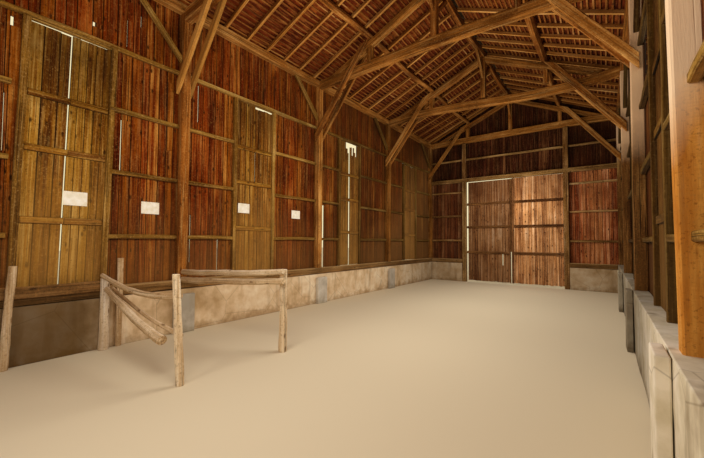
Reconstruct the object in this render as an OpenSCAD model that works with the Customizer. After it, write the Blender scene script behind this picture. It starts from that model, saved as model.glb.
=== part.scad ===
// Timber-framed barn: rendered plinth, posts and rails clad in vertical boards, tall board hatches
// in every bay, king-post trusses clamped by paired struts, tiled roof, and a double gable door.
// Millimetres. X runs across the barn, +Y towards the gable with the hung doors, +Z up.
// The origin is on the ground at the middle of the plan.

/* [Plan] */
// Distance across the barn between the centres of the two rows of posts
span = 6850; // [5600:50:8200]
// Distance along the barn between the centres of two posts
bay_l = 3800; // [3300:50:4400]
// Number of bays
bays = 5; // [3:1:6]

/* [Masonry] */
// Height of the rendered plinth
plinth_h = 780; // [500:10:1000]
// Thickness of the rendered plinth
plinth_t = 200; // [180:10:300]
// Width of the pier under a post
pier_w = 380; // [250:10:600]
// How far a pier stands out from the plinth
pier_d = 90; // [40:5:140]
// Height of a pier of the left wall
pier_h = 700; // [400:10:780]

/* [Frame] */
// Side of a square post, and thickness of every truss timber
post_w = 170; // [140:5:220]
// Height of the sill beam that lies on the plinth
sill_h = 170; // [120:5:220]
// Height of the posts' tops, where the wall plates lie
plate_z = 6000; // [5600:50:6600]
// Height of a wall plate at the middle of its width
plate_h = 130; // [100:5:200]
// Height of a tie beam
tie_h = 245; // [200:5:320]
// How far a tie beam hangs below the underside of the wall plates
tie_drop = 80; // [0:5:120]
// How far the centre of the top wall rail lies below the posts' tops
top_rail_drop = 1150; // [1000:10:1300]
// Heights of the centres of the three lower wall rails
low_rail_z = 1740; // [1500:10:2000]
mid_rail_z = 2800; // [2500:10:3100]
high_rail_z = 3830; // [3500:10:4100]
// Height of a rail's section
rail_h = 80; // [50:5:110]
// Depth of a rail's section
rail_d = 80; // [50:5:100]
// How far below the posts' tops a wall brace meets the post
brace_drop = 890; // [600:10:940]
// Slope of a wall brace in degrees
brace_angle = 48; // [40:1:60]
// Depth of a brace's section, seen square to the brace
brace_d = 90; // [60:5:120]
// Thickness of a brace across the wall
brace_t = 80; // [50:5:100]

/* [Trusses] */
// Roof pitch in degrees
pitch = 24; // [20:1:30]
// Width of a king post seen along the barn
king_w = 150; // [110:5:180]
// Depth of a principal rafter
principal_d = 160; // [120:5:200]
// Distance of the purlins' centre from the middle of the posts
purlin_in = 1720; // [1500:5:1900]
// Depth of a purlin, square to the roof slope
purlin_d = 150; // [120:5:200]
// Width of a purlin along the roof slope
purlin_w = 130; // [100:5:180]
// Width of the short post under each purlin
purlin_post_w = 130; // [80:5:160]
// How far below the posts' tops the centre line of the clamping struts starts
strut_drop = 1400; // [1300:10:1500]
// Slope of the clamping struts in degrees
strut_angle = 52.4; // [51:0.1:54]
// Depth of a clamping strut
strut_d = 160; // [110:5:180]
// Thickness of one clamping strut
strut_t = 70; // [45:5:90]
// How far the struts run past the centre of the post
strut_tail = 25; // [0:5:60]
// Height of the ridge beam below the rafters' meeting point
ridge_h = 215; // [160:5:260]
// Width of the ridge beam
ridge_w = 120; // [90:5:140]
// How far below the ridge beam its braces meet the king posts
ridge_brace_drop = 600; // [400:10:800]

/* [Roof] */
// Width of a common rafter
rafter_w = 60; // [50:5:90]
// Depth of a common rafter
rafter_d = 80; // [60:5:130]
// Number of common rafters between two trusses
rafters_per_bay = 7; // [5:1:9]
// How far the rafters run past the centre of the posts at the eaves
eaves = 450; // [300:10:600]
// How far the tiles run past the rafters' feet
tile_drip = 60; // [30:5:90]
// Thickness of battens and tiles together
tile_t = 70; // [50:5:90]
// How far the tiles run past the gable boards
verge = 150; // [110:5:250]
// Outer radius of the ridge tiles
ridge_tile_r = 130; // [110:5:160]
// How far the centre of the ridge tiles lies below the top of the roof
ridge_tile_sink = 40; // [20:5:60]

/* [Boarding] */
// Thickness of the wall boards
board_t = 25; // [18:1:35]
// How far the boards hang over the plinth
board_lap = 20; // [10:5:60]
// How far the broken boards of the right wall end before the middle of the post beyond them
hole_from = 150; // [100:10:300]
// Length of the stretch of broken boards
hole_l = 700; // [400:50:900]
// How much of the broken boards is missing below the top wall rail
hole_h = 560; // [250:10:900]

/* [Hatches] */
// Distance between the centre lines of a hatch's two jambs
hatch_w = 1060; // [900:10:1300]
// Width of a jamb
jamb_w = 90; // [60:5:120]
// Space between the top of the hatch leaves and the top wall rail
hatch_head = 65; // [60:5:200]
// Gap between the hatch leaves and the head piece over them
head_gap = 40; // [5:1:50]
// Gap between a leaf and the jamb, and between the two leaves
hatch_gap = 8; // [5:1:15]
// Width of a ledge nailed across a hatch leaf
ledge_h = 100; // [70:5:130]
// Thickness of a ledge
ledge_t = 25; // [18:1:40]
// Heights of the ledges on the hatch leaves
hatch_ledge_low = 1960; // [1800:10:2200]
hatch_ledge_mid = 2980; // [2800:10:3200]
hatch_ledge_high = 3760; // [3600:10:4000]

/* [Gable doors] */
// Clear width between the door posts
door_w = 3550; // [3000:50:4000]
// Height of the underside of the lintel
door_h = 4250; // [4150:10:4400]
// Height of the lintel beam
lintel_h = 160; // [120:5:220]
// Height of the thin rail over the doorway, above the lintel's underside
gable_rail_rise = 980; // [750:10:1150]
// How far the top rail beside the doorway lies below the lintel's underside
gable_rail_drop = 420; // [250:10:600]
// Gap between a door leaf and its post
door_gap = 10; // [6:1:16]
// Gap between the two door leaves
meet_gap = 12; // [8:1:20]
// Height of the leaves' lower edge
door_foot = 60; // [30:5:150]
// Thickness of the boards of a door leaf
leaf_t = 27; // [20:1:35]
// Thickness of the ledges on a door leaf
leaf_ledge_t = 30; // [20:1:35]
// Height of the ledges on a door leaf
leaf_ledge_h = 110; // [80:5:150]
// Heights of the centres of the three hinged ledges
leaf_ledge_low = 1250; // [900:10:1500]
leaf_ledge_mid = 2315; // [2100:10:2600]
leaf_ledge_high = 3290; // [3000:10:3700]
// Width of the upright stiles where the leaves meet
stile_w = 76; // [50:2:110]
// Length of a strap hinge
strap_l = 1100; // [700:10:1400]
// Height of a strap
strap_h = 50; // [40:2:70]
// Thickness of a strap
strap_t = 8; // [6:1:10]
// Radius of a hinge pin
pin_r = 9; // [7:0.5:10]
// Outer radius of a strap's eye
eye_r = 20; // [18:1:22]

/* [Pen] */
// Radius of a pen post
pen_post_r = 55; // [40:1:70]
// Radius of a pen rail
pen_rail_r = 48; // [30:1:60]
// Height of the pen's posts
pen_h = 1250; // [1000:10:1400]
// Distance of the pen's free posts from the middle of the wall posts
pen_w = 2415; // [1800:5:2700]
// How far the cross fence stands before the third post of the wall
pen_cross = 1250; // [1000:10:1400]
// How far the pen's last post stands beyond the third post of the wall
pen_end = 370; // [300:10:700]
// How far the pen's first wall post stands before the third post of the wall
pen_start = 2340; // [2000:10:2500]
// How far the low rail of the near fence lies below the free post's top
pen_cross_low = 720; // [500:10:800]
// How far the high rail of the near fence lies below the free post's top
pen_cross_high = 240; // [120:10:260]
// How much the low rail of the near fence rises towards the wall
pen_rise_low = 400; // [0:10:450]
// How much the high rail of the near fence rises towards the wall
pen_rise_high = 80; // [0:5:90]
// How far the high rail of the far fence lies below the free post's top
pen_fence_high = 30; // [20:5:80]
// Distance between the centres of the far fence's two rails
pen_fence_step = 145; // [135:5:400]
// How much the far fence's rails fall towards the wall
pen_fence_fall = 120; // [0:10:140]
// Height of the plank behind the posts by the wall
pen_plank_h = 170; // [100:10:220]
// Width of the stake by the wall
pen_stake_w = 90; // [60:5:140]
// Thickness of the stake
pen_stake_t = 40; // [25:5:60]
// How far the stake rises above the free posts
pen_stake_rise = 145; // [50:5:300]

/* [Hidden] */

// Clearance left where two sloping faces meet
clear = 0.3;
// Gap between neighbouring boards or timbers that only butt
joint = 2;
// Radial clearance of a hinge pin
pin_clear = 0.4;
// How far each bay's hatch stands off the middle of its bay
hatch_shift = [0, 130, -220, -400, -80, 0];

half = span / 2;
in_x = half - post_w / 2;
out_x = half + post_w / 2;
board_x = out_x + board_t;
length = bays * bay_l;
end_y = length / 2;
frame_y = end_y + post_w / 2;
board_y = frame_y + board_t;
sill_top = plinth_h + sill_h;
plate_top = plate_z + plate_h;
tie_bottom = plate_z - tie_drop;
tie_top = tie_bottom + tie_h;
ridge_bottom = under_z(0) - ridge_h;
roof_top = under_z(0) + (rafter_d + tile_t) / cos(pitch);
post_x0 = door_w / 2;
post_x1 = post_x0 + post_w;
strut_half = strut_d / 2 / cos(strut_angle);
axis_y = frame_y + eye_r + 2;
top_rail_z = plate_z - top_rail_drop;
top_rail_low = top_rail_z - rail_h / 2;
hatch_top = top_rail_low - hatch_head;
brace_z = plate_z - brace_drop;
strut_z = plate_z - strut_drop;
purlin_x = half - purlin_in;
hole_y1 = truss_y(bays - 2) - hole_from;
hole_y0 = hole_y1 - hole_l;
pen_x = half - pen_w;
pen_y0 = truss_y(2) - pen_cross;
pen_y1 = truss_y(2) + pen_end;
pen_y2 = truss_y(2) - pen_start;

rail_levels = [low_rail_z, mid_rail_z, high_rail_z];
gable_rail_levels = [low_rail_z, mid_rail_z, door_h - gable_rail_drop];
hatch_ledges_z = [hatch_ledge_low, hatch_ledge_mid, hatch_ledge_high];
leaf_ledges_z = [leaf_ledge_low, leaf_ledge_mid, leaf_ledge_high];

masonry = [0.78, 0.70, 0.56];
timber = [0.55, 0.36, 0.16];
boards = [0.42, 0.17, 0.08];
hatch_wood = [0.50, 0.36, 0.20];
tile = [0.48, 0.20, 0.12];
iron = [0.20, 0.17, 0.15];
pole = [0.62, 0.48, 0.33];

// Underside of the common rafters at a distance x from the middle of the barn
function under_z(x) = plate_top + (half - abs(x)) * tan(pitch);
// The same line moved by d, square to the slope
function slope_z(x, d) = under_z(x) + d / cos(pitch);
// Distance from the middle at which the line moved by d has height z
function slope_x(z, d) = half - (z - d / cos(pitch) - plate_top) / tan(pitch);
// Point at u down the slope and n square to it, from the slope line at x
function slope_pt(x, u, n) = [x + u * cos(pitch) + n * sin(pitch),
    under_z(x) - u * sin(pitch) + n * cos(pitch)];
// Place along the barn of truss i, and of the middle of bay i and its hatch
function truss_y(i) = -end_y + i * bay_l;
function bay_y(i) = -end_y + (i + 0.5) * bay_l;
function hatch_y(i) = bay_y(i) + hatch_shift[i];

// A box from its low corner to its high corner
module box(low, high) {
    translate(low) cube(high - low);
}

// An outline in the plane across the barn, given thickness w about the place y
module across(y, w) {
    translate([0, y + w / 2, 0]) rotate([90, 0, 0]) linear_extrude(w) children();
}

// An outline in the plane along the barn (Y, Z), given thickness w about the place x
module along(x, w) {
    translate([x - w / 2, 0, 0]) rotate([90, 0, 90]) linear_extrude(w) children();
}

// The same piece on the left and on the right
module both_sides() {
    children();
    mirror([1, 0, 0]) children();
}

// The same piece at the far and at the near gable
module both_ends() {
    children();
    mirror([0, 1, 0]) children();
}

// A band of the right roof slope between x_in and x_out, with plumb ends
module slope_band(x_in, x_out, d_low, d_high) {
    polygon([[x_in, slope_z(x_in, d_low)], [x_out, slope_z(x_out, d_low)],
        [x_out, slope_z(x_out, d_high)], [x_in, slope_z(x_in, d_high)]]);
}

// ---- Masonry ----

module plinth(top) {
    box([out_x - plinth_t, -frame_y, 0], [out_x, frame_y, top]);
}

module left_plinth() {
    color(masonry) mirror([1, 0, 0]) plinth(plinth_h);
}

// The right wall has no sill beam: its masonry is carried up to the posts' feet
module right_plinth() {
    color(masonry) plinth(sill_top);
}

module gable_plinths() {
    color(masonry) both_ends() both_sides()
        box([post_x1, frame_y - plinth_t, 0], [out_x - plinth_t, frame_y, plinth_h]);
}

module pier_row(top) {
    for (i = [1:bays - 1])
        box([out_x - plinth_t - pier_d, truss_y(i) - pier_w / 2, 0],
            [out_x - plinth_t, truss_y(i) + pier_w / 2, top]);
}

module post_piers() {
    color(masonry) {
        mirror([1, 0, 0]) pier_row(pier_h);
        pier_row(sill_top);
    }
}

// ---- Wall frame ----

module sill_beams() {
    color(timber) {
        box([-out_x, -frame_y, plinth_h], [-in_x, frame_y, sill_top]);
        both_ends() {
            box([-in_x + joint, frame_y - post_w, plinth_h], [-post_x1, frame_y, sill_top]);
            box([post_x1, frame_y - post_w, plinth_h], [out_x - plinth_t - joint, frame_y, sill_top]);
        }
    }
}

module post_row() {
    for (i = [0:bays])
        box([in_x, truss_y(i) - post_w / 2, sill_top], [out_x, truss_y(i) + post_w / 2, plate_z]);
}

module left_posts() {
    color(timber) mirror([1, 0, 0]) post_row();
}

module right_posts() {
    color(timber) post_row();
}

module wall_plates() {
    color(timber) both_sides() across(0, 2 * frame_y)
        polygon([[in_x, plate_z], [out_x, plate_z], [out_x, under_z(out_x) - clear],
            [in_x, under_z(in_x) - clear]]);
}

// Rails of one wall: the top rail from post to post, the others from post to hatch jamb
module wall_rails() {
    for (i = [0:bays - 1]) {
        y0 = truss_y(i) + post_w / 2;
        y1 = truss_y(i + 1) - post_w / 2;
        jamb = (hatch_w + jamb_w) / 2;
        box([out_x - rail_d, y0, top_rail_z - rail_h / 2], [out_x, y1, top_rail_z + rail_h / 2]);
        for (z = rail_levels) {
            box([out_x - rail_d, y0, z - rail_h / 2], [out_x, hatch_y(i) - jamb, z + rail_h / 2]);
            box([out_x - rail_d, hatch_y(i) + jamb, z - rail_h / 2], [out_x, y1, z + rail_h / 2]);
        }
    }
}

module left_wall_rails() {
    color(timber) mirror([1, 0, 0]) wall_rails();
}

module right_wall_rails() {
    color(timber) wall_rails();
}

// Jambs from the sill beam to the top rail, and a head piece between them under that rail
module hatch_jambs() {
    head_w = hatch_w - jamb_w - 2 * joint;
    color(timber) both_sides() for (i = [0:bays - 1]) {
        for (s = [-1, 1]) box([out_x - rail_d, hatch_y(i) + s * hatch_w / 2 - jamb_w / 2, sill_top],
            [out_x, hatch_y(i) + s * hatch_w / 2 + jamb_w / 2, top_rail_low]);
        box([out_x - rail_d, hatch_y(i) - head_w / 2, hatch_top + head_gap],
            [out_x, hatch_y(i) + head_w / 2, top_rail_low]);
    }
}

// The two leaves of each hatch are closed and fixed between their jambs
module hatch_leaves() {
    leaf = (hatch_w - jamb_w - 3 * hatch_gap) / 2;
    color(hatch_wood) both_sides() for (i = [0:bays - 1]) for (s = [-1, 1])
        box([out_x - board_t, hatch_y(i) + s * (hatch_gap + leaf) / 2 - leaf / 2, sill_top],
            [out_x, hatch_y(i) + s * (hatch_gap + leaf) / 2 + leaf / 2, hatch_top]);
}

module hatch_ledges() {
    leaf = (hatch_w - jamb_w - 3 * hatch_gap) / 2;
    color(hatch_wood) both_sides() for (i = [0:bays - 1]) for (s = [-1, 1]) for (z = hatch_ledges_z)
        box([out_x - board_t - ledge_t, hatch_y(i) + s * (hatch_gap + leaf) / 2 - leaf / 2,
                z - ledge_h / 2],
            [out_x - board_t, hatch_y(i) + s * (hatch_gap + leaf) / 2 + leaf / 2, z + ledge_h / 2]);
}

// Braces lean from each post up to the plate, on the side towards the near gable
module wall_braces() {
    rise = brace_d / 2 / cos(brace_angle);
    color(timber) both_sides() for (i = [1:bays]) {
        y = truss_y(i) - post_w / 2;
        along(half, brace_t) polygon([[y, brace_z - rise], [y, brace_z + rise],
            [y - (plate_z - brace_z - rise) / tan(brace_angle), plate_z],
            [y - (plate_z - brace_z + rise) / tan(brace_angle), plate_z]]);
    }
}

// ---- Trusses ----

// A tie beam's upper corners are cut to the slope where they would reach the rafters
module tie_beams() {
    reach = in_x + post_w;
    color(timber) for (i = [0:bays]) across(truss_y(i), post_w) intersection() {
        translate([-in_x, tie_bottom]) square([2 * in_x, tie_h]);
        polygon([[-reach, 0], [reach, 0], [reach, slope_z(reach, -clear)], [0, slope_z(0, -clear)],
            [-reach, slope_z(reach, -clear)]]);
    }
}

module king_posts() {
    color(timber) for (i = [0:bays])
        box([-king_w / 2, truss_y(i) - post_w / 2, tie_top],
            [king_w / 2, truss_y(i) + post_w / 2, ridge_bottom]);
}

// Each principal stands on the tie beam, butts against the king post and carries a purlin
module principal_rafters() {
    d_low = -purlin_d - principal_d;
    color(timber) both_sides() for (i = [0:bays])
        across(truss_y(i), post_w) polygon([[slope_x(tie_top, d_low), tie_top],
            [slope_x(tie_top, -purlin_d), tie_top],
            [king_w / 2, slope_z(king_w / 2, -purlin_d)], [king_w / 2, slope_z(king_w / 2, d_low)]]);
}

// A short post on the tie beam carries the principal under the purlin
module purlin_posts() {
    x0 = purlin_x - purlin_post_w / 2;
    x1 = purlin_x + purlin_post_w / 2;
    d = -purlin_d - principal_d - clear;
    color(timber) both_sides() for (i = [0:bays]) across(truss_y(i), post_w)
        polygon([[x0, tie_top], [x1, tie_top], [x1, slope_z(x1, d)], [x0, slope_z(x0, d)]]);
}

// Outline of one clamping strut: from the post, past the tie beam, up to the purlin's underside
module strut_outline() {
    t = tan(strut_angle);
    x_low = half + strut_tail;
    z_low = strut_z - strut_tail * t;
    d = -purlin_d - clear;
    // heights of the strut's edges at the middle of the post, and where they meet the roof line
    x_a = meet_x(strut_z + strut_half, t, d);
    x_b = meet_x(strut_z - strut_half, t, d);
    polygon([[x_low, z_low - strut_half], [x_low, z_low + strut_half], [x_a, slope_z(x_a, d)],
        [x_b, slope_z(x_b, d)]]);
}

// Distance from the middle where a line rising inwards from height z at the post meets the slope
function meet_x(z, t, d) = half - (plate_top + d / cos(pitch) - z) / (t - tan(pitch));

// Struts on the trusses' near faces; the near gable's truss has none outside
module near_clamp_struts() {
    color(timber) both_sides() for (i = [1:bays])
        across(truss_y(i) - (post_w + strut_t) / 2, strut_t) strut_outline();
}

// Struts on the trusses' far faces; the far gable's truss has none outside
module far_clamp_struts() {
    color(timber) both_sides() for (i = [0:bays - 1])
        across(truss_y(i) + (post_w + strut_t) / 2, strut_t) strut_outline();
}

module purlins() {
    color(timber) both_sides() across(0, 2 * frame_y)
        polygon([slope_pt(purlin_x, -purlin_w / 2, clear - purlin_d),
            slope_pt(purlin_x, purlin_w / 2, clear - purlin_d),
            slope_pt(purlin_x, purlin_w / 2, -clear), slope_pt(purlin_x, -purlin_w / 2, -clear)]);
}

module ridge_beam() {
    color(timber) across(0, 2 * frame_y)
        polygon([[-ridge_w / 2, ridge_bottom], [ridge_w / 2, ridge_bottom],
            [ridge_w / 2, under_z(ridge_w / 2) - clear], [0, under_z(0) - clear],
            [-ridge_w / 2, under_z(ridge_w / 2) - clear]]);
}

// Braces at 45 degrees between a king post and the ridge beam
module ridge_brace() {
    rise = brace_d / 2 / cos(45);
    z = ridge_bottom - ridge_brace_drop;
    polygon([[0, z - rise], [ridge_brace_drop + rise, ridge_bottom],
        [ridge_brace_drop - rise, ridge_bottom], [0, z + rise]]);
}

module ridge_braces() {
    color(timber) {
        for (i = [0:bays - 1]) translate([0, truss_y(i) + post_w / 2, 0])
            along(0, brace_t) ridge_brace();
        for (i = [1:bays]) translate([0, truss_y(i) - post_w / 2, 0])
            mirror([0, 1, 0]) along(0, brace_t) ridge_brace();
    }
}

// ---- Roof ----

module rafter() {
    slope_band(0, half + eaves, 0, rafter_d);
}

// Common rafters of one slope: evenly spaced in each bay, and one over each gable truss
module rafter_row() {
    step = bay_l / rafters_per_bay;
    for (i = [0:bays - 1]) for (k = [0:rafters_per_bay - 1])
        across(truss_y(i) + (k + 0.5) * step, rafter_w) rafter();
    for (i = [0, bays]) across(truss_y(i), rafter_w) rafter();
}

module left_rafters() {
    color(timber) mirror([1, 0, 0]) rafter_row();
}

module right_rafters() {
    color(timber) rafter_row();
}

module verge_rafters() {
    color(timber) both_sides() both_ends()
        across(board_y + rafter_w / 2, rafter_w) slope_band(joint, half + eaves, 0, rafter_d);
}

module roof_slope() {
    across(0, 2 * (board_y + verge))
        slope_band(0, half + eaves + tile_drip, rafter_d + clear, rafter_d + tile_t);
}

module left_roof() {
    color(tile) mirror([1, 0, 0]) roof_slope();
}

module right_roof() {
    color(tile) roof_slope();
}

module ridge_tiles() {
    run = 2 * ridge_tile_r;
    color(tile) across(0, 2 * (board_y + verge)) difference() {
        translate([0, roof_top - ridge_tile_sink]) circle(ridge_tile_r, $fn = 48);
        polygon([[0, roof_top + clear], [run, roof_top + clear - run * tan(pitch)],
            [run, roof_top - run * 2], [-run, roof_top - run * 2],
            [-run, roof_top + clear - run * tan(pitch)]]);
    }
}

// ---- Boarding ----

// Start and end of the lower panel before bay i: panels fill the wall between two hatches
function panel_y0(i) = i == 0 ? -frame_y : hatch_y(i - 1) + hatch_w / 2;
function panel_y1(i) = i == bays ? frame_y : hatch_y(i) - hatch_w / 2;

module lower_panel(y0, y1, top) {
    box([out_x, y0, plinth_h - board_lap], [board_x, y1, top]);
}

module upper_boards() {
    box([out_x, -frame_y, top_rail_z + joint], [board_x, frame_y, under_z(board_x) - 1]);
}

module left_wall_boards() {
    color(boards) mirror([1, 0, 0]) {
        for (i = [0:bays]) lower_panel(panel_y0(i), panel_y1(i), top_rail_z);
        upper_boards();
    }
}

// In the right wall some boards are broken off high up, just before the last post but two
module right_wall_boards() {
    broken = bays - 2;
    color(boards) {
        for (i = [0:bays]) if (i != broken) lower_panel(panel_y0(i), panel_y1(i), top_rail_z);
        lower_panel(panel_y0(broken), hole_y0 - joint, top_rail_z);
        lower_panel(hole_y0, hole_y1, top_rail_z - hole_h);
        lower_panel(hole_y1 + joint, panel_y1(broken), top_rail_z);
        upper_boards();
    }
}

// Gable boarding beside the doorway, and over it up to the roof
module gable_boards() {
    z_over = door_h + lintel_h / 2;
    color(boards) both_ends() {
        both_sides() box([post_x0 + post_w / 2, frame_y, plinth_h - board_lap],
            [board_x, board_y, z_over - joint]);
        across((frame_y + board_y) / 2, board_t) polygon([[-board_x, z_over], [board_x, z_over],
            [board_x, slope_z(board_x, rafter_d)], [0, slope_z(0, rafter_d)],
            [-board_x, slope_z(board_x, rafter_d)]]);
    }
}

// ---- Gable frame ----

module gable_lintels() {
    color(timber) both_ends()
        box([-in_x, frame_y - post_w, door_h], [in_x, frame_y, door_h + lintel_h]);
}

// Posts beside the doorway, and studs that carry them on from the lintel to the tie beam
module door_posts() {
    color(timber) both_ends() both_sides() {
        box([post_x0, frame_y - post_w, 0], [post_x1, frame_y, door_h]);
        box([post_x0, frame_y - post_w, door_h + lintel_h], [post_x1, frame_y - rail_d, tie_bottom]);
    }
}

module gable_rails() {
    color(timber) both_ends() {
        both_sides() for (z = gable_rail_levels)
            box([post_x1, frame_y - rail_d, z - rail_h / 2], [in_x, frame_y, z + rail_h / 2]);
        z = door_h + gable_rail_rise;
        box([-in_x, frame_y - rail_d, z - rail_h / 2], [in_x, frame_y, z + rail_h / 2]);
    }
}

// ---- Hung doors of the far gable ----

// One leaf, hung at +X: its boards stand flush with the outside of the frame
module door_leaf() {
    box([meet_gap / 2, frame_y - leaf_t, door_foot],
        [post_x0 - door_gap, frame_y, door_h - 2 * door_gap]);
}

// Ledges and the meeting stile on the inner face of a leaf
module door_ledges() {
    y1 = frame_y - leaf_t;
    y0 = y1 - leaf_ledge_t;
    x0 = meet_gap / 2 + stile_w + joint * 3;
    for (z = leaf_ledges_z)
        box([x0, y0, z - leaf_ledge_h / 2], [post_x0 - 2 * door_gap, y1, z + leaf_ledge_h / 2]);
    box([meet_gap / 2, y0, door_foot], [meet_gap / 2 + stile_w, y1, door_h - 2 * door_gap]);
}

// Strap with an eye round the pin, on the outside of a leaf
module door_straps() {
    for (z = leaf_ledges_z) difference() {
        union() {
            box([post_x0 - strap_l, frame_y, z - strap_h / 2],
                [post_x0 - pin_r, frame_y + strap_t, z + strap_h / 2]);
            translate([post_x0, axis_y, z - strap_h / 2]) cylinder(h = strap_h, r = eye_r);
        }
        translate([post_x0, axis_y, z - strap_h]) cylinder(h = 2 * strap_h, r = pin_r + pin_clear);
    }
}

// Pintle: a plate on the door post that carries the pin through the strap's eye
module pintles() {
    plate_t = 2 * pin_r;
    for (z = leaf_ledges_z) translate([post_x0, 0, z - strap_h / 2 - plate_t - clear]) {
        box([-pin_r, frame_y, 0], [post_w / 3, axis_y + pin_r, plate_t]);
        translate([0, axis_y, 0]) cylinder(h = plate_t + clear + strap_h + pin_r, r = pin_r);
    }
}

module right_door_leaf() {
    color(boards) door_leaf();
}

module left_door_leaf() {
    color(boards) mirror([1, 0, 0]) door_leaf();
}

module right_door_ledges() {
    color(timber) door_ledges();
}

module left_door_ledges() {
    color(timber) mirror([1, 0, 0]) door_ledges();
}

module right_door_straps() {
    color(iron) door_straps();
}

module left_door_straps() {
    color(iron) mirror([1, 0, 0]) door_straps();
}

module door_pintles() {
    color(iron) both_sides() pintles();
}

// ---- Pole pen by the left wall ----

// Face of the plinth, against which the wall posts of the pen stand
pen_wall_x = out_x - plinth_t - pen_post_r - clear;

// Distance from a post's axis to that of a rail lashed beside it
pen_beside = pen_post_r + pen_rail_r + clear;
// Height of the wall post at the near fence
pen_wall_h = pen_h - pen_cross_high + pen_rise_high + 2 * joint;

module pen_posts() {
    plinth_x = out_x - plinth_t;
    stake_y = pen_y0 + pen_beside + pen_rail_r + 15;
    color(pole) mirror([1, 0, 0]) {
        translate([pen_x, pen_y0, 0]) cylinder(h = pen_h, r = pen_post_r);
        translate([pen_x, pen_y1, 0]) cylinder(h = pen_h, r = pen_post_r);
        translate([pen_wall_x, pen_y0, 0]) cylinder(h = pen_wall_h, r = pen_post_r);
        translate([pen_wall_x, pen_y2, 0]) cylinder(h = pen_h, r = pen_post_r);
        box([plinth_x - pen_stake_t, stake_y, 0],
            [plinth_x, stake_y + pen_stake_w, pen_h + pen_stake_rise]);
    }
}

// A round rail between two points
module rail(a, b) {
    run = b - a;
    translate(a) rotate([0, acos(run.z / norm(run)), atan2(run.y, run.x)])
        cylinder(h = norm(run), r = pen_rail_r);
}

// The near fence's rails lie behind its two posts
module near_fence_rail(z, rise) {
    y = pen_y0 + pen_beside;
    rail([pen_x - pen_post_r / 2, y, z], [pen_wall_x + pen_rail_r / 2, y, z + rise]);
}

// The far fence's rails lie before the free post and run aslant to the wall's third post
module far_fence_rail(z) {
    run = in_x - pen_x;
    skew = atan((pen_y1 - pen_beside - truss_y(2)) / run);
    start = [pen_x, pen_y1 - pen_beside / cos(skew), z];
    aim = [in_x, truss_y(2), z - pen_fence_fall];
    dir = (aim - start) / norm(aim - start);
    tilt = sqrt(1 - dir.x * dir.x);
    rail(start - dir * (pen_post_r + pen_rail_r), aim - dir * (clear + pen_rail_r * tilt) / dir.x);
}

module pen_rails() {
    color(pole) mirror([1, 0, 0]) {
        near_fence_rail(pen_h - pen_cross_low, pen_rise_low);
        near_fence_rail(pen_h - pen_cross_high, pen_rise_high);
        far_fence_rail(pen_h - pen_fence_high);
        far_fence_rail(pen_h - pen_fence_high - pen_fence_step);
        // a plank set between the wall posts of the pen and the sill beam
        box([out_x - plinth_t, pen_y2 - pen_post_r, sill_top - 30],
            [in_x, pen_y0 + pen_post_r, sill_top - 30 + pen_plank_h]);
    }
}

left_plinth();
right_plinth();
gable_plinths();
post_piers();
sill_beams();
left_posts();
right_posts();
wall_plates();
left_wall_rails();
right_wall_rails();
hatch_jambs();
hatch_leaves();
hatch_ledges();
wall_braces();
tie_beams();
king_posts();
principal_rafters();
purlin_posts();
near_clamp_struts();
far_clamp_struts();
purlins();
ridge_beam();
ridge_braces();
left_rafters();
right_rafters();
verge_rafters();
left_roof();
right_roof();
ridge_tiles();
left_wall_boards();
right_wall_boards();
gable_boards();
gable_lintels();
door_posts();
gable_rails();
left_door_leaf();
left_door_ledges();
left_door_straps();
right_door_leaf();
right_door_ledges();
right_door_straps();
door_pintles();
pen_posts();
pen_rails();
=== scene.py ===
"""Looks of a timber-framed barn seen from inside: hewn frame, stained boards, clay tiles, rendered plinth."""

import math
import random
from functools import partial

import bmesh
import bpy
from mathutils import Matrix, Vector, noise


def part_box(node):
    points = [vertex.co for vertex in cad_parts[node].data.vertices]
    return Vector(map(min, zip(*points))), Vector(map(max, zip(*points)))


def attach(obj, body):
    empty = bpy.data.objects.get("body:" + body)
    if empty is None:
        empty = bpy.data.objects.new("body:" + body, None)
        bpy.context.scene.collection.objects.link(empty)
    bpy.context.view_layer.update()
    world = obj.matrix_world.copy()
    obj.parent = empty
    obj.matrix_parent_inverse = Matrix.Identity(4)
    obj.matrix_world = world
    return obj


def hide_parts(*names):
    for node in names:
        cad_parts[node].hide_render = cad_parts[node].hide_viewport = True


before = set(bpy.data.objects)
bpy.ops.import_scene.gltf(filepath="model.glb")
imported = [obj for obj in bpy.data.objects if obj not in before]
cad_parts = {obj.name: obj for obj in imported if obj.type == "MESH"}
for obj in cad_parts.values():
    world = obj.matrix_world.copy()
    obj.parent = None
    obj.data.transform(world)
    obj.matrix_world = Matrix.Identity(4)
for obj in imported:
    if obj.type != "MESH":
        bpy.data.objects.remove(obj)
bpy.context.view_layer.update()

X, Y, Z = Vector((1, 0, 0)), Vector((0, 1, 0)), Vector((0, 0, 1))

# Sizes of the frame in metres, as the solids have them
BAY = 3.8
GABLE_Y = 9.5          # middle of the end trusses
POST_X = 3.34          # inner faces of the posts
PLATE_X = 3.425        # middle of the wall plates
PITCH = math.radians(24)
APEX = 7.6549          # where the rafters' undersides meet
RAFTER = 0.0803        # depth of a rafter with its seat
VERGE_Y = 9.76
HATCH_FOOT, HATCH_H = 0.95, 3.75


# -------- colours and nodes

def rgb(code):
    """A hex colour as linear RGBA."""
    parts = [int(code[i:i + 2], 16) / 255 for i in (1, 3, 5)]
    return tuple(c / 12.92 if c <= 0.04045 else ((c + 0.055) / 1.055) ** 2.4 for c in parts) + (1,)


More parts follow.
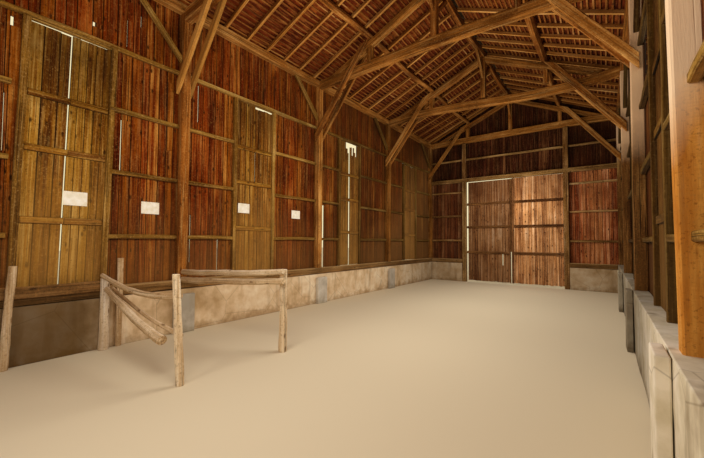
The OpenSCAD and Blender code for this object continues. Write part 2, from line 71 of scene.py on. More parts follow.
def add_node(tree, kind, inputs=None, stops=None, **settings):
    """Adds a shader node. An input is a number, a vector, a hex colour, or a node or an output to link."""
    new = tree.nodes.new("ShaderNode" + kind)
    for key, value in settings.items():
        setattr(new, key, value)
    for key, value in (inputs or {}).items():
        if isinstance(value, bpy.types.Node):
            value = next(out for out in value.outputs if out.enabled)
        if isinstance(value, bpy.types.NodeSocket):
            tree.links.new(value, new.inputs[key])
        else:
            new.inputs[key].default_value = rgb(value) if isinstance(value, str) else value
    for place, (at, code) in enumerate(stops or []):
        points = new.color_ramp.elements
        point = points[place] if place < 2 else points.new(at)
        point.position = at
        point.color = rgb(code)
    return new


def new_material(name):
    """A material with an empty tree, and add_node for that tree."""
    material = bpy.data.materials.new(name)
    material.use_nodes = True
    material.node_tree.nodes.clear()
    return material, partial(add_node, material.node_tree)


def surface(put, roughness, colour, height=None, strength=0.5, distance=0.002, **more):
    """Ends a material with its shader: the colour, and a bump whose distance is in metres."""
    inputs = {"Roughness": roughness, "Base Color": colour, **more}
    if height is not None:
        inputs["Normal"] = put("Bump", {"Height": height, "Strength": strength, "Distance": distance})
    put("OutputMaterial", {"Surface": put("BsdfPrincipled", inputs)})


def lay_over(put, colour, layers, place, cloud, limit=1.0):
    """Lays dust, painted shade or painted light over a colour. A layer is a direction in the barn, where along
    it the layer starts and is full, its amount, its colour and how far a cloud moves its edge. limit is the
    share of them that a face takes."""
    for direction, start, full, most, tint, wander in layers:
        along = put("VectorMath", {0: place, 1: direction}, operation="DOT_PRODUCT").outputs["Value"]
        along = put("Math", {0: cloud, 1: wander, 2: along}, operation="MULTIPLY_ADD")
        amount = put("MapRange", {0: along, 1: start + wander / 2, 2: full + wander / 2, 4: most})
        amount = put("Math", {0: amount, 1: limit}, operation="MULTIPLY")
        colour = put("Mix", {0: amount, 6: colour, 7: tint}, data_type="RGBA")
    return colour


# -------- woods

JOINT_SHADOW = "#140702"


def ramp(codes):
    """The stops of a wood's four colours, from its darkest streak to its lightest."""
    darkest, dark, middle, light = codes.split()
    return [(0.06, darkest), (0.96, light), (0.36, dark), (0.66, middle)]


def old_wood(name, red, gold, streak=0.02, knots=0.9, seam=0.0, grime=0.5, relief=0.004, worn="#b07a40",
             wear=0.5, saw=0.0, layers=(), down=None, up=None, outside=None):
    """Old sawn or hewn wood. It follows "grain", the place of each point in its own timber in metres, and
    "board", which holds the timber's tone, the place across it and its hue.
    red and gold: four colours each, of the two kinds of timber. streak: width of a grain band.
    knots, seam, grime: amounts of dark knots, board joints and smears. relief: depth of the grain.
    worn and wear: colour and amount of the streaks where the surface has worn off. saw: strength of the
    marks that a saw left across the grain. layers: as lay_over takes them.
    down, up: colour and amount of painted shade for faces that don't look down, and colour and amount for faces
    that look up.
    outside: four colours of the faces that look away from the hall."""
    material, put = new_material(name)
    darkest, dark = red.split()[:2]
    grain = put("Attribute", attribute_name="grain").outputs["Vector"]
    board = put("Attribute", attribute_name="board").outputs["Vector"]
    board = put("SeparateXYZ", {0: board}).outputs
    place = put("TexCoord").outputs["Object"]
    facing = put("NewGeometry").outputs["Normal"]
    level = put("SeparateXYZ", {0: facing}).outputs["Z"]

    # noise stretched along the grain: cycles per metre along it, width of a streak across it, in metres
    cloud = {}
    for key, source, along, width, detail, roughness in (
            ("figure", grain, 1.1, streak, 5, 0.6), ("bands", grain, 0.6, streak * 2.6, 3, 0.6),
            ("fibre", grain, 7.0, streak / 5, 3, 0.7), ("bare", grain, 1.0, streak * 1.2, 5, 0.7),
            ("crack", grain, 0.7, streak * 0.55, 1, 0.6), ("run", grain, 0.45, streak * 2.2, 3, 0.65),
            ("weather", place, 1.5, 0.8, 4, 0.6), ("soot", place, 0.8, 1.3, 5, 0.65),
            ("saw", grain, 95.0, 0.25, 2, 0.5), ("grit", place, 38.0, 0.026, 3, 0.7)):
        scaled = put("VectorMath", {0: source, 1: (along, 1 / width, 1 / width)}, operation="MULTIPLY")
        cloud[key] = put("TexNoise", {"Vector": scaled, "Scale": 1.0, "Detail": detail, "Roughness": roughness})
    # knots lie every 250 mm or so along a board
    spots = put("VectorMath", {0: grain, 1: (4.0, 9.0, 9.0)}, operation="MULTIPLY")
    spot = put("TexVoronoi", {"Vector": spots, "Scale": 1.0, "Randomness": 1.0})
    edge = put("Math", {0: board["Y"]}, operation="ABSOLUTE")
    # drying cracks are a millimetre or two wide and joints a few, drawn wider so that they show
    part = {}
    for key, source, low, high, first, last in (
            ("figure", cloud["figure"], 0.34, 0.66, 0.0, 0.26),
            ("bands", cloud["bands"], 0.36, 0.64, 0.0, 0.26),
            ("weather", cloud["weather"], 0.38, 0.64, 0.0, 0.22),
            ("tone", board["X"], 0.0, 1.0, 0.0, 0.34), ("hue", board["Z"], 0.0, 1.0, 0.0, 1.0),
            ("hue_bands", cloud["bands"], 0.36, 0.64, -0.25, 0.25),
            ("bare", cloud["bare"], 0.53, 0.66, 0.0, wear), ("knot", spot, 0.10, 0.22, knots, 0.0),
            ("crack", cloud["crack"], 0.63, 0.71, 0.0, 0.85), ("run", cloud["run"], 0.53, 0.68, 0.0, grime),
            ("soot", cloud["soot"], 0.50, 0.70, 0.0, grime), ("fibre", cloud["fibre"], 0.56, 0.72, 0.0, 0.4),
            ("joint", edge, 0.86, 0.95, 0.0, seam), ("saw", cloud["saw"], 0.5, 0.68, 0.0, saw),
            ("specks", cloud["grit"], 0.56, 0.72, 0.0, 0.45), ("pits", cloud["grit"], 0.44, 0.32, 0.0, 0.6)):
        part[key] = put("MapRange", {0: source, 1: low, 2: high, 3: first, 4: last})
    for total, operation, keys in (
            ("tone", "ADD", ("figure", "bands", "weather")), ("hue", "ADD", ("hue_bands",)),
            ("joint", "MAXIMUM", ("crack",)), ("run", "MAXIMUM", ("knot", "soot", "fibre"))):
        for key in keys:
            part[total] = put("Math", {0: part[total], 1: part[key]}, operation=operation)
    hue = put("MapRange", {0: part["hue"], 1: 0.3, 2: 0.8})
    reds, golds = (put("ValToRGB", {0: part["tone"]}, ramp(codes)) for codes in (red, gold))
    colour = put("Mix", {0: hue, 6: reds, 7: golds}, data_type="RGBA")
    for amount, tint in (("bare", worn), ("run", darkest), ("saw", dark), ("specks", worn), ("pits", darkest),
                         ("joint", JOINT_SHADOW)):
        colour = put("Mix", {0: part[amount], 6: colour, 7: tint}, data_type="RGBA")
    colour = lay_over(put, colour, layers, place, cloud["soot"])
    # painted shade on faces that don't look down; faces that look up are lightened
    for side, low, high in ((down, -0.75, -0.35), (up, 0.5, 0.9)):
        if side:
            amount = put("MapRange", {0: level, 1: low, 2: high, 4: side[1]})
            colour = put("Mix", {0: amount, 6: colour, 7: side[0]}, data_type="RGBA")
    if outside:
        away = put("VectorMath", {0: facing, 1: place}, operation="DOT_PRODUCT").outputs["Value"]
        away = put("MapRange", {0: away, 1: 1.5, 2: 2.5})
        outer = put("ValToRGB", {0: part["tone"]}, ramp(outside))
        for amount, tint in (("run", outside.split()[0]), ("joint", JOINT_SHADOW)):
            outer = put("Mix", {0: part[amount], 6: outer, 7: tint}, data_type="RGBA")
        colour = put("Mix", {0: away, 6: colour, 7: outer}, data_type="RGBA")
    height = put("Math", {0: cloud["fibre"], 1: 0.7, 2: cloud["figure"]}, operation="MULTIPLY_ADD")
    height = put("Math", {0: part["joint"], 1: -0.8, 2: height}, operation="MULTIPLY_ADD")
    surface(put, 0.85, colour, height, 0.8, relief)
    return material


# Painted shade of the far bays and of the right wall beyond its near post; dust low on the walls and at the far
# end; painted shade of the far bays on the oak
FAR_PAINTED_SHADE = (Y, 0.6, 3.6, 0.55, "#33200c", 1.0)
RIGHT_PAINTED_SHADE = ((10, 1, 0), 32.4, 33.4, 0.6, "#120806", 0.0)
STRAW_DUST = (Z, 2.5, 0.9, 0.55, "#7c552b", 1.6)
END_DUST = ((0, 1, -1), 2.4, 4.6, 0.3, "#8c6638", 0.5)
OAK_PAINTED_SHADE = (Y, 1.0, 7.0, 0.3, "#2a1405", 1.0)
OUTER_STAIN = "#2c0f06 #5c2815 #804426 #ac764e"

# Softwood wall boards under an old red-brown stain that has worn to orange: matt, streaky, dark at the joints
wall_stain = old_wood(
    "stained_softwood_boards", "#240700 #551801 #7e3004 #b86622", "#2c0e00 #662b03 #944e0b #d09242", 0.024,
    seam=0.95, grime=0.55, worn="#bd8444", layers=[STRAW_DUST, FAR_PAINTED_SHADE, END_DUST, RIGHT_PAINTED_SHADE],
    outside=OUTER_STAIN)
# The same boards beside the gable doors: darker on the side away from the light
gable_stain = old_wood(
    "gable_softwood_boards", "#300e04 #6a2a0e #9c5228 #d08e60", "#361808 #743c18 #a86838 #daa274", 0.026,
    seam=0.95, worn="#c08c64", wear=0.4, layers=[(X, 1.6, -1.6, 0.62, "#1a0a04", 0.0)],
    outside=OUTER_STAIN)
# High in the gables the boards are nearly black with painted shade
gable_top_shaded_stain = old_wood(
    "gable_top_boards_painted_shade", "#0c0200 #1e0602 #320f06 #5c301a", "#100401 #240c03 #3e1c0a #704828", 0.026,
    seam=0.95, worn="#7c5634", wear=0.35, outside=OUTER_STAIN)
# Bare softwood hatches, weathered to a greyed olive gold, with painted shade at the top, in the far bays and on
# the right wall, and dusty at the foot
hatch_wood = old_wood(
    "weathered_pine_hatches", "#2c1202 #5e3006 #8c5212 #c08c42", "#382006 #78480a #a67622 #deb260", 0.022,
    seam=0.95, worn="#d0a458", wear=0.55, outside="#2e1c0e #5c4026 #866440 #b4946c",
    layers=[(Z, 3.4, 4.6, 0.42, "#2c1404", 1.0), (Z, 3.2, 1.2, 0.5, "#a87c3c", 1.6),
            (Y, 0.6, 3.6, 0.3, "#543c1e", 1.0), END_DUST, RIGHT_PAINTED_SHADE])
# Door leaves: the same stain as the walls, bleached by the light under the doors to a dusty orange, with
# painted shade on the left leaf and at the top
door_stain = old_wood(
    "faded_door_boards", "#3c1a08 #84502a #c4864e #f4be8c", "#46240e #966238 #d49a62 #fdd2a4", 0.026,
    seam=0.9, worn="#e0b080", wear=0.45, outside=OUTER_STAIN,
    layers=[(X, 0.2, -0.2, 0.58, "#2a1206", 0.4), (Z, 3.0, 3.6, 0.4, "#4a2410", 0.8)])
# Hewn oak of posts, ties and struts: golden brown, coarse streaks and long drying cracks, painted shade in the
# far bays
OAK = dict(red="#341404 #6a370c #9e5c1e #d29248", gold="#3e1e07 #784612 #ae6e2a #e4aa5e", streak=0.03,
           relief=0.008, knots=0.6, worn="#d8ac66")
hewn_oak = old_wood("hewn_oak_timbers", layers=[OAK_PAINTED_SHADE], **OAK)
# The struts of the near truss catch the daylight of the open doorway: painted light, lighter towards the near
# end
strut_oak = old_wood("hewn_oak_struts", layers=[(Y, 0.5, -1.4, 0.3, "#d09a48", 0.3), OAK_PAINTED_SHADE], **OAK)
# The same oak low along the left wall, under years of straw dust on its upper faces, with painted shade at its
# near end and in the far bays
sill_oak = old_wood(
    "dusty_oak_sills", "#3c2610 #6c4c24 #946e3e #c09a66", "#44301a #785630 #a07c4c #ccaa78", 0.03,
    relief=0.008, grime=0.4, up=("#cca870", 0.75),
    layers=[(Y, -2.9, -3.3, 0.6, "#2c1a08", 0.3), (Y, 2.5, 7.0, 0.45, "#3a2410", 0.6)])
# Oak in the gable frames: a darker copy of the oak, painted shade of the far gable
gable_oak = old_wood("gable_oak_painted_shade", "#2c1506 #573614 #7e582a #b28a58",
                     "#342008 #64441c #8c6a3a #c8a474", 0.03, relief=0.008, worn="#c89c6a")
# Posts of the right wall: a dark copy of the oak as painted shade, with painted daylight from gaps in the
# boards on their upper parts
right_oak_painted_shade_and_light = old_wood(
    "right_oak_posts_painted_shade_and_light", "#1e0c04 #3c200a #5a3614 #8a6034", "#26140a #482a10 #66421c #94703e", 0.045,
    knots=0.4, grime=0.45, layers=[((0, -0.18, 1), 2.6, 3.3, 0.88, "#d6b086", 0.8)])
# The near one stands in the light, painted: a lighter golden copy of the oak with saw marks, and a painted pale
# patch of daylight above head height
near_oak_painted_light = old_wood(
    "near_oak_post_painted_light", "#864812 #c67e2c #e6a044 #fcc47a", "#905218 #d08a34 #eeae50 #ffd086", 0.05,
    knots=0.4, grime=0.35, saw=0.35, layers=[((-2.2, 0, 1), -5.2, -4.65, 0.92, "#f6dab4", 0.3)])
# Sawn rails, jambs and braces: thinner stuff, more even, lost in the dark of the far bays, with painted shade
# there and on the right wall
sawn_fir = old_wood(
    "sawn_fir_rails", "#301a08 #664211 #966a26 #ca9e54", "#3a240a #745014 #a67c34 #dcb870", worn="#d0a868",
    wear=0.45, knots=0.4, layers=[(Z, 2.2, 0.9, 0.3, "#7c5a30", 1.0),
                                  (Y, 0.4, 3.6, 0.6, "#1c0e05", 0.6), RIGHT_PAINTED_SHADE])
# Rafters catch the light on their undersides, with painted shade on their other faces and in the far bays;
# battens, darker, have painted shade all over and more in the far bays
rafter_fir = old_wood(
    "sawn_fir_rafters", "#52240a #965818 #c48234 #e6b066", "#5c300e #a26624 #d09244 #f0c27e", worn="#e0b070",
    grime=0.35, knots=0.4, down=("#5a270c", 0.55), layers=[(Y, 3.0, 8.0, 0.3, "#2a1405", 0.6)])
batten_fir = old_wood(
    "roof_battens", "#38140a #6c3412 #96581e #c08a46", "#3e1c0a #784018 #a4682c #cc985a", 0.03,
    wear=0.3, layers=[(Y, 3.0, 8.0, 0.35, "#2a1405", 0.6)])
# Ledges of the gable doors: dark with painted shade, and lighter on their upper faces
ledge_fir = old_wood("door_ledges_painted_shade", "#1a0a04 #381c0c #5a341a #8c6040",
                     "#20100a #432610 #684424 #9c7450", up=("#a8845c", 0.6))
# Peeled poles of the pen: grey-tan barkless wood, with painted shade where they lie against the wall
pole_wood = old_wood(
    "peeled_poles", "#82603a #c4a274 #ecd2a8 #fff0d4", "#8e6e48 #d2b488 #f6e2c0 #fff6e4", grime=0.45,
    worn="#fdeccb", layers=[(X, -1.6, -3.3, 0.35, "#8c6434", 0.6)])
plank_wood = old_wood("dusty_pen_plank", "#362010 #6a4a26 #946e42 #bc9a6c",
                      "#402a16 #76542e #a07c4c #c8a878", grime=0.6)


# -------- render, clay, iron and card

def masonry(name, shades, stain, layers=()):
    """Lime render on rubble: floated, stained from below and patched. shades: the darkest, the lightest
    and one between. layers: as lay_over takes them, only on faces that look into the hall."""
    material, put = new_material(name)
    place = put("TexCoord").outputs["Object"]
    height = put("SeparateXYZ", {0: place}).outputs["Z"]
    broad = put("TexNoise", {"Vector": place, "Scale": 0.9, "Detail": 5, "Roughness": 0.6})
    fine = put("TexNoise", {"Vector": place, "Scale": 5.0, "Detail": 4, "Roughness": 0.6})
    sand = put("TexNoise", {"Vector": place, "Scale": 160.0, "Detail": 2})
    total = put("Math", {0: fine, 1: 0.45, 2: broad}, operation="MULTIPLY_ADD")
    shade = put("MapRange", {0: total, 1: 0.5, 2: 0.95})
    colour = put("ValToRGB", {0: shade}, list(zip((0.1, 0.9, 0.5), shades)))
    # rising damp and mud up to about 200 mm
    rise = put("Math", {0: fine, 1: 0.5, 2: height}, operation="MULTIPLY_ADD")
    damp = put("MapRange", {0: rise, 1: 0.24, 2: 0.42, 3: 0.6, 4: 0.0})
    # runs of dust and moss that come down from the sill, about 220 mm wide and 1.4 m long
    drips = put("VectorMath", {0: place, 1: (4.5, 4.5, 0.7)}, operation="MULTIPLY")
    run = put("TexNoise", {"Vector": drips, "Scale": 1.0, "Detail": 4})
    run = put("MapRange", {0: run, 1: 0.54, 2: 0.72, 3: 0.0, 4: 0.6})
    # hairline cracks, drawn some millimetres wide so that they show
    cells = put("TexVoronoi", {"Vector": place, "Scale": 1.1}, feature="DISTANCE_TO_EDGE")
    crack = put("MapRange", {0: cells, 1: 0.0, 2: 0.008, 3: 0.4, 4: 0.0})
    for amount, tint in ((damp, stain), (run, stain), (crack, "#5a4426")):
        colour = put("Mix", {0: amount, 6: colour, 7: tint}, data_type="RGBA")
    facing = put("NewGeometry").outputs["Normal"]
    facing = put("VectorMath", {0: facing, 1: place}, operation="DOT_PRODUCT").outputs["Value"]
    inside = put("MapRange", {0: facing, 1: 2.5, 2: 1.5})
    colour = lay_over(put, colour, layers, place, broad, inside)
    height = put("Math", {0: sand, 1: 0.3, 2: fine}, operation="MULTIPLY_ADD")
    surface(put, 0.92, colour, height, 0.6, 0.006)
    return material


# Cream lime render on the plinth, darker brown at its near end, with painted shade in the far bay
lime_render = masonry(
    "cream_lime_render", ("#bc9c70", "#f2e0c0", "#dec29a"), "#94744a",
    [(Y, -2.9, -3.4, 0.88, "#4c3100", 0.5), (Y, 4.5, 9.0, 0.45, "#3c2608", 1.0)])
# Whitewash on the right wall's plinth, with painted shade beyond the near post
whitewash = masonry("whitewashed_render", ("#b4a488", "#f2e8d2", "#d8ccae"), "#75603c",
                    [(Y, -1.4, 0.6, 0.6, "#2c1c0c", 0.5)])
# Grey cement on the piers that were added under the posts, with painted shade in the far bays
pier_cement = masonry("grey_cement_piers", ("#a49a88", "#d8d0c0", "#c0b6a4"), "#94866a",
                      [(Y, 2.5, 8.0, 0.35, "#3c2608", 0.5)])
# Mortar that beds the ridge tiles
ridge_mortar = masonry("ridge_mortar", ("#4c453a", "#857b6c", "#665e51"), "#3c3529")

# Hand-made plain tiles, each fired to its own red-brown: painted shade below in the far bays, with smears of
# the mortar that beds them, and some lichen above
clay, put = new_material("old_clay_tiles")
board = put("Attribute", attribute_name="board").outputs["Vector"]
tone = put("SeparateXYZ", {0: board}).outputs["X"]
place = put("TexCoord").outputs["Object"]
blotches = put("VectorMath", {0: place, 1: (18.0, 5.0, 18.0)}, operation="MULTIPLY")
cloud = put("TexNoise", {"Vector": blotches, "Scale": 1.0, "Detail": 5, "Roughness": 0.65})
sand = put("TexNoise", {"Vector": place, "Scale": 180.0, "Detail": 2})
wide = put("TexNoise", {"Vector": place, "Scale": 0.9, "Detail": 5})
total = put("Math", {0: cloud, 1: 0.6, 2: wide}, operation="MULTIPLY_ADD")
total = put("Math", {0: tone, 1: 0.3, 2: total}, operation="MULTIPLY_ADD")
shade = put("MapRange", {0: total, 1: 0.55, 2: 1.3})
colour = put("ValToRGB", {0: shade},
             [(0.05, "#2e0a02"), (0.9, "#a0541e"), (0.35, "#521a06"), (0.62, "#722a0a")])
normal = put("NewGeometry").outputs["Normal"]
up = put("SeparateXYZ", {0: normal}).outputs["Z"]
under = put("MapRange", {0: up, 1: -0.5, 2: -0.2, 3: 1.0, 4: 0.0})
# the smears follow the courses, about 50 mm high and 300 mm long, and painted shade darkens the far bays
stretched = put("VectorMath", {0: place, 1: (22.0, 3.2, 22.0)}, operation="MULTIPLY")
smear = put("TexNoise", {"Vector": stretched, "Scale": 1.0, "Detail": 3})
along = put("SeparateXYZ", {0: place}).outputs["Y"]
spot = put("Math", {0: cloud, 1: wide})
above = put("MapRange", {0: up, 1: 0.3, 2: 0.7})
for source, low, high, most, tint, faces in (
        (smear, 0.52, 0.66, 0.6, "#a8642c", under), (along, -2.0, 6.0, 0.6, "#220804", under),
        (spot, 1.04, 1.24, 0.45, "#8c8458", above)):
    amount = put("MapRange", {0: source, 1: low, 2: high, 4: most})
    amount = put("Math", {0: amount, 1: faces}, operation="MULTIPLY")
    colour = put("Mix", {0: amount, 6: colour, 7: tint}, data_type="RGBA")
surface(put, 0.86, colour, put("Math", {0: sand, 1: 0.4, 2: cloud}, operation="MULTIPLY_ADD"))

# Forged straps and pintles under an even brown rust
iron, put = new_material("rusted_forged_iron")
place = put("TexCoord").outputs["Object"]
scale = put("TexNoise", {"Vector": place, "Scale": 45.0, "Detail": 6, "Roughness": 0.7})
shade = put("MapRange", {0: scale, 1: 0.3, 2: 0.7})
colour = put("ValToRGB", {0: shade}, [(0.0, "#2a1a12"), (1.0, "#7a4a2c"), (0.5, "#4a2c1c")])
surface(put, 0.7, colour, scale, Metallic=0.35)

# Bare card, yellowed in clouds of about 80 mm
card, put = new_material("yellowed_card")
place = put("TexCoord").outputs["Object"]
cloud = put("TexNoise", {"Vector": place, "Scale": 12.0, "Detail": 4})
surface(put, 0.8, put("ValToRGB", {0: cloud}, [(0.3, "#e8dec2"), (0.7, "#fffbee")]))


# -------- shaping

def solids(node):
    """Yields the separate solids of a CAD node, in order, each a bmesh with its flat faces whole."""
    whole = bmesh.new()
    whole.from_mesh(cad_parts[node].data)
    bmesh.ops.remove_doubles(whole, verts=whole.verts, dist=1e-5)
    bmesh.ops.dissolve_limit(whole, angle_limit=math.radians(1), verts=whole.verts, edges=whole.edges)
    whole.verts.index_update()
    seen = set()
    for start in whole.verts:
        if start.index in seen:
            continue
        group, reach = {start.index}, [start]
        while reach:
            for edge in reach.pop().link_edges:
                for vert in edge.verts:
                    if vert.index not in group:
                        group.add(vert.index)
                        reach.append(vert)
        seen |= group
        part = whole.copy()
        part.verts.index_update()
        bmesh.ops.delete(part, geom=[v for v in part.verts if v.index not in group], context="VERTS")
        yield part
    whole.free()


def everything(part):
    """All vertices, edges and faces of a part."""
    return part.verts[:] + part.edges[:] + part.faces[:]


def span(part, axis):
    """Where a part starts and ends along an axis."""
    reach = [v.co.dot(axis) for v in part.verts]
    return min(reach), max(reach)


def extent(part):
    """Lowest and highest corner of a part."""
    return [Vector(corner) for corner in zip(*(span(part, axis) for axis in (X, Y, Z)))]


def boxes(node):
    """Yields the lowest and highest corner of each solid of a CAD node."""
    for part in solids(node):
        yield extent(part)
        part.free()


def block(low, high):
    """A box from its low corner to its high corner."""
    part = bmesh.new()
    place = Matrix.Translation((low + high) / 2) @ Matrix.Diagonal((*(high - low), 1))
    bmesh.ops.create_cube(part, size=1, matrix=place)
    return part


def cut_along(part, axis, step):
    """Cuts a part square to an axis, in even steps."""
    first, last = span(part, axis)
    count = max(1, round((last - first) / step))
    for k in range(1, count):
        bmesh.ops.bisect_plane(part, geom=everything(part), plane_no=axis,
                               plane_co=axis * (first + (last - first) * k / count))


SAG = 0.085            # of the roof, midway between two trusses
SAG_REACH = 1.7        # from the wall to where the roof sags in full


def settle(place):
    """How far the old roof has sunk at a place: nothing over the trusses and walls, most between them."""
    along = math.sin(math.pi * (place.y - GABLE_Y) / BAY) ** 2 if abs(place.y) < GABLE_Y else 0
    return Vector((0, 0, -SAG * along * min(1, max(0, (PLATE_X - abs(place.x)) / SAG_REACH))))


# How far the bent log of each tie beam stands off the straight line, by its place along the barn in whole
# metres: its ends, its middle, and its left half above its right one
BENT = {-2: (-0.09, 0.04, 0.0), 2: (0.0, 0.08, 0.0), 6: (0.0, -0.03, 0.1)}
SLIGHTLY_BENT = (0.0, 0.03, 0.0)
SKEW_PEAK = 2.6        # brings the peak of u - u cubed to one


def camber(place):
    """Rise of a tie beam that was hewn from a bent log."""
    ends, middle, skew = BENT.get(round(place.y), SLIGHTLY_BENT)
    u = max(-1, min(1, place.x / POST_X))
    return Vector((0, 0, middle + (ends - middle) * u * u - SKEW_PEAK * skew * u * (1 - u * u)))


# Lumps of a worn face, in cycles per metre along the grain and across it, and of a timber's wandering
LUMP_ALONG, LUMP_ACROSS, WANDER = 1.6, 7, 0.9
# Vector noise starts from the clock unless it is given a seed
noise.seed_set(1)


def work_wood(piece, part, rng, axis, across, ease, wear, step, tone=None, hue=None, sway=0.0, shape=None):
    """Eases the long edges of one timber, cuts it along its length, wears its faces inwards, and writes
    where each point lies in the wood. ease is the width of an eased edge and wear the depth across and
    square to that, in metres. sway is how far the timber wanders off its straight line, and shape moves
    each point of it."""
    depth = axis.cross(across).normalized()
    long_edges = [e for e in part.edges
                  if abs((e.verts[1].co - e.verts[0].co).normalized().dot(axis)) > 0.95]
    bmesh.ops.bevel(part, geom=long_edges, offset=ease, segments=1, profile=0.5, affect="EDGES",
                    material=-1)
    cut_along(part, axis, step)
    part.normal_update()
    seed = Vector((rng.uniform(-40, 40), rng.uniform(-40, 40), rng.uniform(-40, 40)))
    left, right = span(part, across)
    middle, half = (right + left) / 2, max((right - left) / 2, 1e-6)
    first, last = span(part, axis)
    grain = part.verts.layers.float_vector.new("grain")
    board = part.verts.layers.float_vector.new("board")
    tone = rng.random() if tone is None else tone
    hue = rng.random() if hue is None else hue
    for v in part.verts:
        v[grain] = Vector((v.co.dot(axis), v.co.dot(across), v.co.dot(depth))) + seed
        v[board] = (tone, (v.co.dot(across) - middle) / half, hue)
    for v in part.verts:
        local = Vector((v.co.dot(axis) * LUMP_ALONG, v.co.dot(across) * LUMP_ACROSS,
                        v.co.dot(depth) * LUMP_ACROSS))
        push = 0.5 + 0.5 * noise.noise(local + seed)
        v.co -= (across * (v.normal.dot(across) * wear[0]) + depth * (v.normal.dot(depth) * wear[1])) * push
        if sway:
            run = (v.co.dot(axis) - first) / (last - first)
            bend = noise.noise_vector(axis * (v.co.dot(axis) * WANDER) + seed) * sway
            bend *= min(1, 6 * run * (1 - run))
            v.co += bend - axis * bend.dot(axis)
        if shape:
            v.co += shape(v.co)
    join_part(piece, part)


def join_part(piece, part):
    """Adds one finished part to the bmesh of its piece."""
    mesh = bpy.data.meshes.new("part")
    part.to_mesh(mesh)
    part.free()
    piece.from_mesh(mesh)
    bpy.data.meshes.remove(mesh)


def add_object(name, data):
    """A new object of the scene, at the origin."""
    obj = bpy.data.objects.new(name, data)
    bpy.context.scene.collection.objects.link(obj)
    return obj


def place_piece(name, piece, material, nodes=(), body="barn"):
    """Makes the object of a piece, on its body, in place of the CAD nodes it stands for."""
    bmesh.ops.recalc_face_normals(piece, faces=piece.faces)
    mesh = bpy.data.meshes.new(name)
    piece.to_mesh(mesh)
    piece.free()
    mesh.materials.append(material)
    obj = add_object(name, mesh)
    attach(obj, body)
    for node in nodes:
        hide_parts(node)


def longest(part):
    """Direction of a part's longest edge, and a square direction that lies in one of its faces."""
    edge = max(part.edges, key=lambda e: round((e.verts[1].co - e.verts[0].co).length, 4))
    axis = (edge.verts[1].co - edge.verts[0].co).normalized()
    if axis.dot(Vector((0.3, 1, 0.5))) < 0:
        axis = -axis
    face = max(edge.link_faces, key=lambda f: round(f.calc_area(), 5))
    return axis, face.normal.cross(axis).normalized()


def timbers(node, material, ease, wear, step=0.3, tones=(0.0, 1.0), hues=(0.0, 1.0),
            sway=0.0, shape=None, pick=None):
    """A CAD node of timbers, hewn: the same solids with waned edges and uneven faces. tones and hues are
    the range of each. pick takes only those whose place along the barn it says yes to."""
    rng = random.Random(node)
    piece = bmesh.new()
    for part in solids(node):
        low, high = extent(part)
        if pick and not pick((low.y + high.y) / 2):
            part.free()
            continue
        part.normal_update()
        axis, across = longest(part)
        work_wood(piece, part, rng, axis, across, ease, (wear, wear), step,
                  rng.uniform(*tones), rng.uniform(*hues), sway, shape)
    place_piece(node + ("_near_hewn" if shape and pick else "_hewn"), piece, material, [node])


# -------- frame

# Width of the eased edges, wear of the faces and sway of each kind of oak timber, and what has bent it
for node, ease, wear, sway, shape in (
        ("tie_beams", 0.022, 0.010, 0, camber), ("king_posts", 0.014, 0.008, 0, None),
        ("principal_rafters", 0.016, 0.009, 0, None), ("purlin_posts", 0.010, 0.007, 0, None),
        ("purlins", 0.016, 0.009, 0, settle), ("ridge_beam", 0.010, 0.007, 0, settle),
        ("ridge_braces", 0.008, 0.005, 0, None), ("left_posts", 0.014, 0.008, 0.008, None),
        ("wall_plates", 0.012, 0.008, 0, None)):
    timbers(node, hewn_oak, ease, wear, sway=sway, shape=shape, tones=(0.1, 1.0))
for node in ("near_clamp_struts", "far_clamp_struts"):
    timbers(node, strut_oak, 0.012, 0.007, sway=0.012, tones=(0.2, 1.0))
timbers("sill_beams", sill_oak, 0.016, 0.010)
for node in ("gable_lintels", "door_posts"):
    timbers(node, gable_oak, 0.012, 0.007)


def lean_near_post(place):
    """The near post of the right wall has moved outwards at its foot, over its lower 4.5 m."""
    return Vector((0.045 * max(0, 1 - place.z / 4.5), 0, 0))


def is_near_post(y):
    """Whether the post at this place is the one beside the camera."""
    return abs(y + BAY / 2) < 0.1


timbers("right_posts", right_oak_painted_shade_and_light, 0.014, 0.006, hues=(0.3, 0.8), pick=lambda y: not is_near_post(y))
timbers("right_posts", near_oak_painted_light, 0.014, 0.004, hues=(0.4, 0.6), tones=(0.5, 0.6), shape=lean_near_post,
        pick=is_near_post)
for side, sway in (("left", 0.016), ("right", 0.012)):
    timbers(side + "_wall_rails", sawn_fir, 0.012, 0.010, 0.22, tones=(0.1, 0.9), sway=sway)
timbers("gable_rails", gable_oak, 0.010, 0.008, sway=0.010, tones=(0.2, 1))
timbers("wall_braces", sawn_fir, 0.008, 0.006, sway=0.006, tones=(0.3, 0.9))


def lean_hatch(place):
    """The second hatch on the left leans away from the near gable with its frame, most at its head."""
    near = -4.3 < place.y < -3.05 and place.x < 0
    up = (place.z - HATCH_FOOT) / HATCH_H
    return Vector((0, (0.02 + 0.065 * up) if near else 0, 0))


timbers("hatch_jambs", sawn_fir, 0.008, 0.006, sway=0.006, tones=(0.3, 0.8), shape=lean_hatch)
for node in ("left_rafters", "right_rafters", "verge_rafters"):
    timbers(node, rafter_fir, 0.006, 0.005, 0.4, tones=(0.2, 1.0), shape=settle)
timbers("hatch_ledges", hatch_wood, 0.006, 0.004, tones=(0.1, 0.7), hues=(0.3, 0.7),
        sway=0.003, shape=lean_hatch)


# -------- boarding

BOARD_EASE = 0.0035    # eased edges of a board
BOARD_WEAR = (0.0, 0.004)
SHORTEST = 0.02        # a shorter rest of a board is left out


